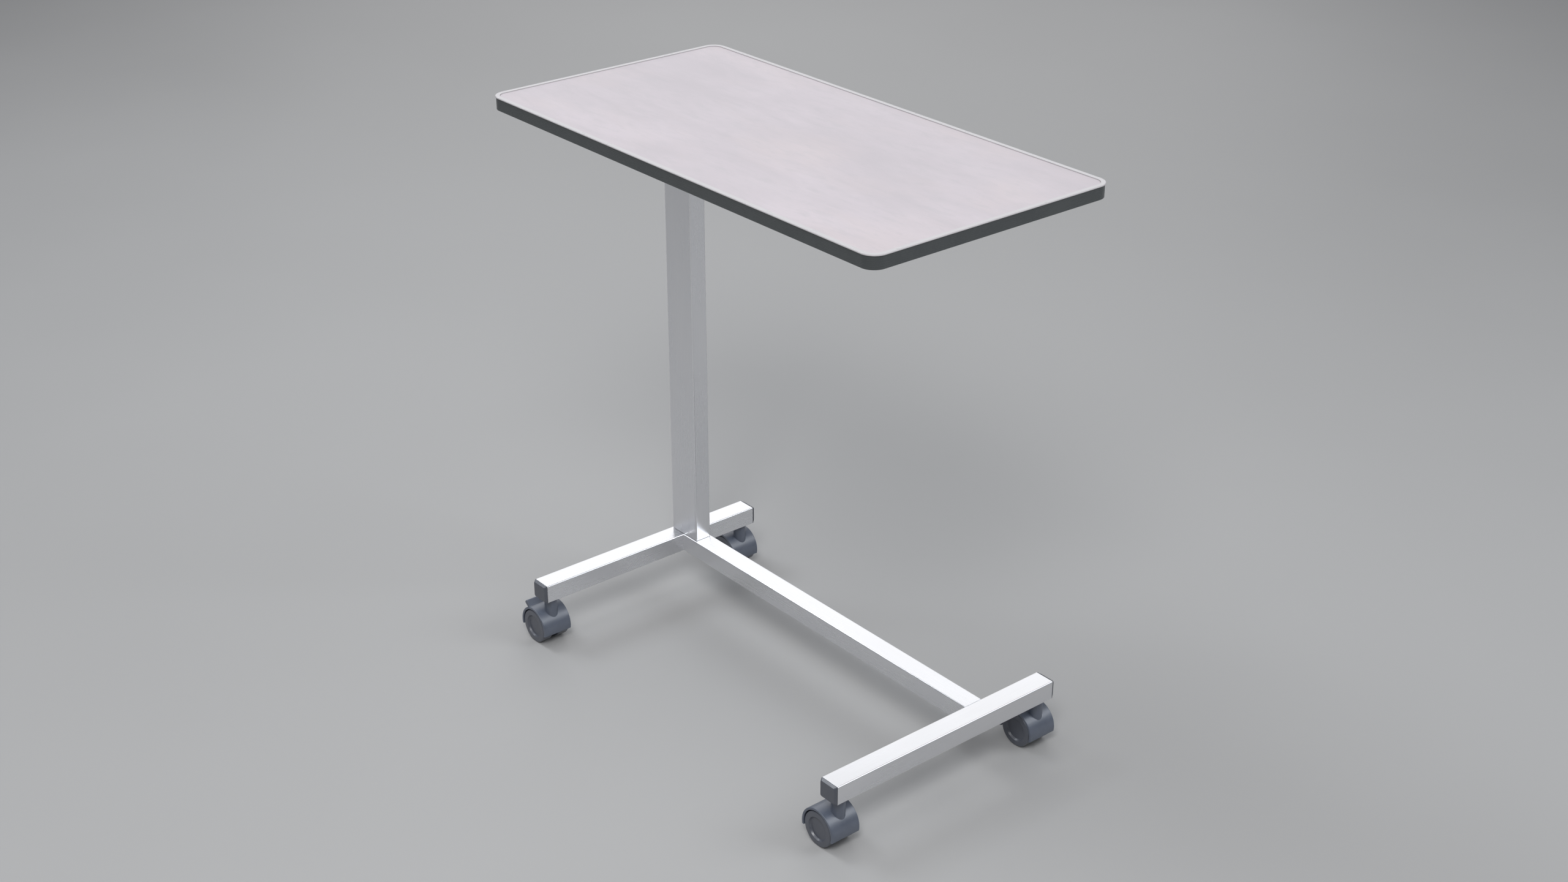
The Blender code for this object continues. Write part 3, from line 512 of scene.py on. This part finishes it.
def end_plug(label):
    """Cap with sloping sides, and the insert that holds the castor's stem."""
    node = f"{label}_end_plug"
    low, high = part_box(node)
    side = 1 if high.y > 0 else -1
    face, insert_end = (high.y, low.y) if side > 0 else (low.y, high.y)
    plate = face - side * PLUG_CAP
    width, height = high.x - low.x, high.z - low.z
    fit = BAR_WALL + HOLE_ROOM

    def cap(inset):
        return rounded_rectangle(width - 2 * inset, height - 2 * inset, BAR_CORNER + inset / 2)

    def insert(inset):
        shrink = 2 * (fit + inset)
        return rounded_rectangle(width - shrink, height - shrink, INSERT_CORNER)

    sections = [(insert(INSERT_LEAD), insert_end), (insert(0.0), insert_end + side * INSERT_LEAD),
                (insert(0.0), plate), (cap(PLUG_BREAK), plate),
                (cap(0.0), plate + side * PLUG_BREAK)]
    for step in range(5):
        bend = math.radians(30 + 15 * step)
        sections.append((cap(PLUG_SLOPE + PLUG_ROUND * (1 - math.cos(bend))),
                         face - side * PLUG_ROUND * (1 - math.sin(bend))))
    middle_of_bar = ((low.x + high.x) / 2, 0.0, (low.z + high.z) / 2)
    plug = loft(f"{label}_plug", sections, "Y", middle_of_bar)
    stem = middle(f"{label}_castor_stem")
    bore = cylinder(stem_radius + HOLE_ROOM, bar_low.z - BAR_WALL, stem_high.z + STEM_ROOM,
                    (stem.x, stem.y, 0.0))
    stand_for(carve(plug, bore), node)


# ---------------------------------------------------------------- castors
HOOD_INNER = 26.3 * MM
HOOD_RIM = 0.9 * MM
HOOD_FLARE = 0.5 * MM               # chamfer at the mouth of each wheel's room
WEB_HALF = 4.8 * MM
WEB_FILLET = 0.8 * MM
BOSS_RADIUS = 9.3 * MM
BOSS_START = 5 * MM                 # above the axle, inside the barrel
BOSS_FILLET = 0.6 * MM
JOURNAL_RADIUS = 4.0 * MM
AXLE_BORE = 2.8 * MM
SLOT_INNER = 24.3 * MM              # opening in the rear hoods for the brake pedal
SLOT_OUTER = 36 * MM
SLOT_ANGLES = (113, 157)
SLOT_HALF = 15.5 * MM
SHOULDER = 1.8 * MM                 # rounding of a wheel's outer edge
DISH_DEPTH = 3.0 * MM
DISH_FLOOR = 15.1 * MM
DISH_RIM = 17.0 * MM
INNER_CHAMFER = 1.2 * MM
RECESS_DEPTH = 2.0 * MM             # groove in a wheel's inner face
RECESS_OUTER = (20.5 * MM, 19.5 * MM)
RECESS_INNER = (7.5 * MM, 8.5 * MM)
WHEEL_BORE_DEPTH = 12.4 * MM
PEDAL_INNER = 27.3 * MM
PEDAL_EDGE = 0.6 * MM
PEDAL_ANGLES = (118, 150)           # degrees round the axle, 0 at +X and 90 at the top
TREAD_ANGLES = (134, 146)
TREAD_RADIUS = 41 * MM


def polar(radius, degrees):
    """A point at an angle round a castor's axle, as (x, z)."""
    angle = math.radians(degrees)
    return radius * math.cos(angle), radius * math.sin(angle)


def arc(radius, start, end, steps):
    return [polar(radius, start + (end - start) * step / steps) for step in range(steps + 1)]


def hood(label):
    """Barrel over both wheels with its swivel boss, hollowed on either side of a web."""
    node = f"{label}_castor_hood"
    low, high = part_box(node)
    axle = middle(f"{label}_castor_axle")
    stem = middle(f"{label}_castor_stem")
    radius = axle.x - low.x
    half = (high.y - low.y) / 2
    barrel = filleted([(0.0, -half), (radius, -half, HOOD_RIM), (radius, half, HOOD_RIM), (0.0, half)])
    body = lathe(f"{label}_hood", barrel, axle, "Y", 128)
    boss_top = high.z
    boss = filleted([(0.0, axle.z + BOSS_START), (BOSS_RADIUS, axle.z + BOSS_START),
                     (BOSS_RADIUS, boss_top, BOSS_FILLET), (0.0, boss_top)])
    carve(body, lathe("tool", boss, (stem.x, stem.y, 0.0), "Z", 72), operation="UNION")
    tools = []
    mouth = HOOD_INNER + HOOD_FLARE
    beyond = half + 1 * MM
    for side in (-1, 1):
        room = [(0.0, side * WEB_HALF), (HOOD_INNER, side * WEB_HALF, WEB_FILLET),
                (HOOD_INNER, side * (half - HOOD_FLARE)), (mouth, side * half),
                (mouth, side * beyond), (0.0, side * beyond)]
        tools.append(lathe("tool", filleted(room), axle, "Y", 128))
    below = rounded_rectangle(0.1, 0.1, 1 * MM, 2)
    tools.append(prism("tool", below, -0.05, 0.0, "Z", (axle.x, axle.y, low.z)))
    tools.append(cylinder(JOURNAL_RADIUS + HOLE_ROOM, stem_low.z - STEM_ROOM, boss_top + 1 * MM,
                          (stem.x, stem.y, 0.0), steps=48))
    tools.append(cylinder(AXLE_BORE, -half, half, axle, "Y", 32))
    if label.startswith("rear"):
        first, last = SLOT_ANGLES
        slot = arc(SLOT_INNER, last, first, 20) + arc(SLOT_OUTER, first, last, 20)
        tools.append(prism("tool", slot, -SLOT_HALF, SLOT_HALF, "Y", axle))
    for tool in tools:
        carve(body, tool)
    stand_for(body, node)


def wheel(label, which):
    """Wheel with rounded shoulders and a dished outer face."""
    node = f"{label}_{which}_wheel"
    low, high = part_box(node)
    axle = middle(f"{label}_castor_axle")
    outward = 1 if (low.y + high.y) / 2 > axle.y else -1
    start = low.y if outward > 0 else high.y
    wide = high.y - low.y
    radius = axle.z
    dish = wide - DISH_DEPTH
    profile = [(0.0, dish), (DISH_FLOOR, dish, 1.2 * MM),
               (DISH_RIM, wide, 0.8 * MM), (radius, wide, SHOULDER),
               (radius, INNER_CHAMFER, 1.0 * MM), (radius - INNER_CHAMFER, 0.0, 0.6 * MM),
               (RECESS_OUTER[0], 0.0, 0.3 * MM), (RECESS_OUTER[1], RECESS_DEPTH, 0.6 * MM),
               (RECESS_INNER[1], RECESS_DEPTH, 0.6 * MM), (RECESS_INNER[0], 0.0, 0.3 * MM),
               (AXLE_BORE, 0.0), (AXLE_BORE, WHEEL_BORE_DEPTH), (0.0, WHEEL_BORE_DEPTH)]
    turned = [(r, outward * h) for r, h in filleted(profile)]
    stand_for(lathe(f"{label}_{which}_wheel_disc", turned, (axle.x, start, axle.z), "Y", 128), node)


def brake_pedal(label):
    """Shoe that fills the hood's slot, with a rounded tread for the foot."""
    node = f"{label}_brake_pedal"
    low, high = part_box(node)
    axle = middle(f"{label}_castor_axle")
    outer = axle.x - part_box(f"{label}_castor_hood")[0].x
    start, end = PEDAL_ANGLES
    tread_start, tread_end = TREAD_ANGLES
    tread = [(*polar(outer, tread_start), 1.2 * MM), (*polar(TREAD_RADIUS, tread_start + 2), 2.6 * MM),
             (*polar(TREAD_RADIUS, tread_end - 1), 2.2 * MM), (*polar(outer, tread_end), 0.8 * MM)]
    crown = arc(outer, start, tread_start - 4, 12)
    outline = arc(PEDAL_INNER, end, start, 16) + crown
    outline += filleted([crown[-1], *tread, polar(outer, end)])[1:]
    half = (high.y - low.y) / 2
    stand_for(prism(f"{label}_pedal", outline, -half, half, "Y", axle, PEDAL_EDGE), node)


for label in LABELS:
    end_plug(label)
    hood(label)
    wheel(label, "outer")
    wheel(label, "inner")
    if label.startswith("rear"):
        brake_pedal(label)


# ---------------------------------------------------------------- table top
TOP_CORNER = 20 * MM
TOP_STEPS = 16
BAND_THICK = 3 * MM
SHEET_EDGE = 0.15 * MM
SCREW_HOLE = 2.3 * MM
SCREWS = range(1, 7)
PAST = 5 * MM                       # how far a tool goes beyond what it cuts


def top_outline(inset):
    """The top's outline, drawn in by an inset."""
    low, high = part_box("edge_lip")
    size = high - low
    return rounded_rectangle(size.x - 2 * inset, size.y - 2 * inset, TOP_CORNER - inset, TOP_STEPS)


def edge_ring(name, node, profile):
    """A ring round the top from a closed (inset, height, fillet) profile."""
    sections = [(top_outline(inset), z) for inset, z in filleted(profile, closed=True)]
    stand_for(loft(name, sections, "Z", (0.0, 0.0, 0.0), ring=True), node)


lip_low, lip_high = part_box("edge_lip")
band_low, band_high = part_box("edge_band")
lam_low, lam_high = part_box("tabletop_laminate")
back_low, back_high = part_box("tabletop_backing")
band_inset = lip_high.x - band_high.x
lip_width = lip_high.x - lam_high.x - HOLE_ROOM
edge_ring("raised_lip", "edge_lip", [
    (0.0, lip_low.z, 0.25 * MM), (0.0, lip_high.z, 1.2 * MM),
    (lip_width, lip_high.z, 0.35 * MM), (lip_width, lip_low.z, 0.1 * MM)])
edge_ring("dark_edge_band", "edge_band", [
    (band_inset, band_low.z, 0.8 * MM), (band_inset, band_high.z, 0.3 * MM),
    (band_inset + BAND_THICK, band_high.z, 0.2 * MM),
    (band_inset + BAND_THICK, band_low.z, 0.2 * MM)])


def sheet(name, inset, low, high, edge):
    """A flat panel with its upper and lower edges eased."""
    sections = [(top_outline(inset + edge), low), (top_outline(inset), low + edge),
                (top_outline(inset), high - edge), (top_outline(inset + edge), high)]
    return loft(name, sections, "Z", (0.0, 0.0, 0.0))


def screw_hole(number, low, high):
    """A tool that drills for one of the top's screws."""
    place = middle(f"top_screw_{number}")
    return cylinder(SCREW_HOLE, low - PAST, high + PAST, (place.x, place.y, 0.0), steps=32)


stand_for(sheet("stone_laminate", lip_high.x - lam_high.x, lam_low.z, lam_high.z, SHEET_EDGE),
          "tabletop_laminate")
backing = sheet("backing_sheet", lip_high.x - back_high.x, back_low.z, back_high.z, SHEET_EDGE)
carve(backing, *[screw_hole(number, back_low.z, back_high.z) for number in SCREWS])
stand_for(backing, "tabletop_backing")


# ---------------------------------------------------------------- under the top
SCREW_SHANK = 2.0 * MM
SCREW_HEAD = 2.6 * MM
SCREW_POINT = 3 * MM
CROSS_LENGTH = 4.6 * MM
CROSS_WIDTH = 1.0 * MM
CROSS_DEPTH = 1.5 * MM
BOLT_HEAD = 5 * MM
BOLT_WASHER = 0.4 * MM              # washer face between the hexagon and the bar
BOLT_FACE_RADIUS = 6.6 * MM
RAIL_WALL = 1.5 * MM
RAIL_CORNER = 2.0 * MM
PLATE_CORNER = 8 * MM
PLATE_EDGE = 0.6 * MM
GRIP_END = 4 * MM                   # rounding of the grip's two ends
GRIP_CORNER = 4.5 * MM
GROOVE_DEPTH = 0.7 * MM
GROOVE_SPAN = (0.12, 0.88)          # part of the grip's length that is grooved
GROOVES = 4
POCKET_WIDTH = 14.6 * MM
POCKET_HEIGHT = 5.6 * MM


def screw(number):
    """Pan-head screw with a cross recess, seen from below."""
    node = f"top_screw_{number}"
    low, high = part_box(node)
    place = (middle(node).x, middle(node).y, 0.0)
    head = (high.x - low.x) / 2
    seat = low.z + SCREW_HEAD
    profile = [(0.0, high.z), (SCREW_SHANK, high.z - SCREW_POINT), (SCREW_SHANK, seat),
               (head, seat, 0.2 * MM), (head, seat - 1.2 * MM, 0.5 * MM),
               (0.62 * head, low.z, 1.2 * MM), (0.0, low.z)]
    body = lathe(f"{node}_pan_head", filleted(profile), place, "Z", 48)
    for length, width in ((CROSS_LENGTH, CROSS_WIDTH), (CROSS_WIDTH, CROSS_LENGTH)):
        cross = prism("tool", rounded_rectangle(length, width, 0.2 * MM, 2), low.z - 1 * MM,
                      low.z + CROSS_DEPTH, "Z", place)
        carve(body, cross)
    stand_for(body, node)


def bolt(number):
    """Hexagon bolt with a chamfered head and a washer face."""
    node = f"mast_bolt_{number}"
    low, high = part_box(node)
    place = (middle(node).x, middle(node).y, 0.0)
    radius = (high.x - low.x) / 2
    head_top = low.z + BOLT_HEAD
    hexagon = [polar(radius, 60 * step) for step in range(6)]
    body = prism(f"{node}_hex_head", hexagon, low.z, head_top - BOLT_WASHER, "Z", place)
    crown = lathe("tool", [(0.0, low.z - 1 * MM), (radius - 1.3 * MM, low.z - 0.2 * MM),
                           (radius + 0.2 * MM, low.z + 0.7 * MM), (radius + 0.2 * MM, head_top),
                           (0.0, head_top)], place, "Z", 64)
    carve(body, crown, operation="INTERSECT")
    shank = lathe("tool", filleted([(0.0, low.z + 2 * MM), (BOLT_FACE_RADIUS, low.z + 2 * MM),
                                    (BOLT_FACE_RADIUS, head_top), (BOLT_RADIUS, head_top),
                                    (BOLT_RADIUS, high.z, 0.8 * MM), (0.0, high.z)]), place, "Z", 48)
    carve(body, shank, operation="UNION")
    stand_for(body, node)


for number in SCREWS:
    screw(number)
for number in (1, 2):
    bolt(number)

for side in ("left", "right"):
    rail = tube(f"{side}_rail_tube", f"{side}_rail", "X", RAIL_WALL, RAIL_CORNER)
    rail_low, rail_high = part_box(f"{side}_rail")
    holes = [screw_hole(number, rail_low.z, rail_high.z) for number in SCREWS
             if rail_low.y < middle(f"top_screw_{number}").y < rail_high.y]
    stand_for(carve(rail, *holes), f"{side}_rail")

plate_low, plate_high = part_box("support_plate")
plate_size = plate_high - plate_low
plate = prism("support_plate_sheet", rounded_rectangle(plate_size.x, plate_size.y, PLATE_CORNER, 10),
              plate_low.z, plate_high.z, "Z", ((plate_low.x + plate_high.x) / 2, 0.0, 0.0), PLATE_EDGE)
stand_for(plate, "support_plate")


def grip():
    """Soft-edged handle with finger grooves round it, sleeved over the lever."""
    low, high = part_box("lever_grip")
    size = high - low
    sections = []
    steps = 44
    for step in range(steps + 1):
        part = step / steps
        w = low.y + size.y * part
        end = min(part, 1 - part) * size.y
        inset = 0.0
        if end < GRIP_END:
            inset = GRIP_END - math.sqrt(max(0.0, GRIP_END ** 2 - (GRIP_END - end) ** 2))
        if GROOVE_SPAN[0] < part < GROOVE_SPAN[1]:
            inset += GROOVE_DEPTH * max(0.0, math.sin(part * math.pi * 2 * GROOVES))
        corner = min(GRIP_CORNER, (size.z - 2 * inset) / 2 - 0.1 * MM)
        sections.append((rounded_rectangle(size.x - 2 * inset, size.z - 2 * inset, corner), w))
    body = loft("release_grip", sections, "Y", ((low.x + high.x) / 2, 0.0, (low.z + high.z) / 2))
    lever = middle("release_lever")
    pocket = prism("tool", rounded_rectangle(POCKET_WIDTH, POCKET_HEIGHT, 0.5 * MM, 3), low.y - PAST,
                   lever_high.y + HOLE_ROOM, "Y", (lever.x, 0.0, lever.z))
    stand_for(carve(body, pocket), "lever_grip")


grip()


# ---------------------------------------------------------------- floor, light and camera
FLOOR_HALF = 14.0
HORIZON = (0.10, 0.12)              # height of a direction, and how bright the room is there
CEILING = (0.62, 0.36)
COOL = (0.92, 0.96, 1.0)


def floor_look():
    """Matt pale studio floor with the faintest clouding."""
    look = Look("pale_floor", Specular_IOR_Level=0.25)
    cloud = look.noise(1.2, 3.0)
    fine = look.noise(3 * MM, 3.0)
    shade = look.blend(look.span(cloud, 0.0, 1.0), (0.405, 0.403, 0.401), (0.425, 0.423, 0.421))
    return look.finish(shade, look.span(cloud, 0.55, 0.62), fine, 0.01 * MM, 0.2)


shape = bmesh.new()
bmesh.ops.create_grid(shape, x_segments=8, y_segments=8, size=FLOOR_HALF)
floor = new_object("floor", shape)
floor.data.materials.append(floor_look())

world = bpy.data.worlds.new("studio")
bpy.context.scene.world = world
world.use_nodes = True
background = world.node_tree.nodes["Background"]
background.inputs["Color"].default_value = (0.93, 0.95, 1.0, 1.0)
direction = world.node_tree.nodes.new("ShaderNodeTexCoord")
split = world.node_tree.nodes.new("ShaderNodeSeparateXYZ")
climb = world.node_tree.nodes.new("ShaderNodeMapRange")
for socket, value in (("From Min", HORIZON[0]), ("From Max", CEILING[0]),
                      ("To Min", HORIZON[1]), ("To Max", CEILING[1])):
    climb.inputs[socket].default_value = value
world.node_tree.links.new(direction.outputs["Generated"], split.inputs["Vector"])
world.node_tree.links.new(split.outputs["Z"], climb.inputs["Value"])
world.node_tree.links.new(climb.outputs["Result"], background.inputs["Strength"])


def softbox(name, place, target, width, height, power, colour=(1.0, 1.0, 1.0)):
    """A rectangular area light at a place, turned to a target; power in watts."""
    lamp = bpy.data.lights.new(name, "AREA")
    lamp.shape = "RECTANGLE"
    lamp.size = width
    lamp.size_y = height
    lamp.energy = power
    lamp.color = colour
    obj = bpy.data.objects.new(name, lamp)
    obj.location = place
    obj.rotation_euler = (Vector(target) - Vector(place)).to_track_quat("-Z", "Y").to_euler()
    bpy.context.scene.collection.objects.link(obj)


softbox("overhead_softbox", (-0.4, -0.8, 3.6), (0.0, 0.0, 0.3), 2.2, 2.2, 22)
softbox("key_softbox", (2.15, -2.20, 3.60), (0.0, 0.0, 0.2), 1.4, 1.4, 86)
softbox("back_softbox", (-3.0, 2.5, 1.95), (0.0, 0.0, 0.3), 3.4, 3.0, 33)
softbox("left_rim_softbox", (-2.3, -0.8, 3.0), (0.0, 0.0, 0.2), 1.2, 1.2, 30, COOL)
softbox("right_rim_softbox", (2.3, 1.9, 2.4), (0.0, 0.0, 0.2), 1.7, 1.7, 34, COOL)

camera = bpy.data.objects.new("camera", bpy.data.cameras.new("camera"))
camera.data.lens = 50
camera.data.sensor_width = 36
camera.location = (2.0077, -1.6603, 1.6828)
camera.rotation_euler = (math.radians(63.65), 0.0, math.radians(50.4))
bpy.context.scene.collection.objects.link(camera)
bpy.context.scene.camera = camera
bpy.context.scene.view_settings.view_transform = "Standard"
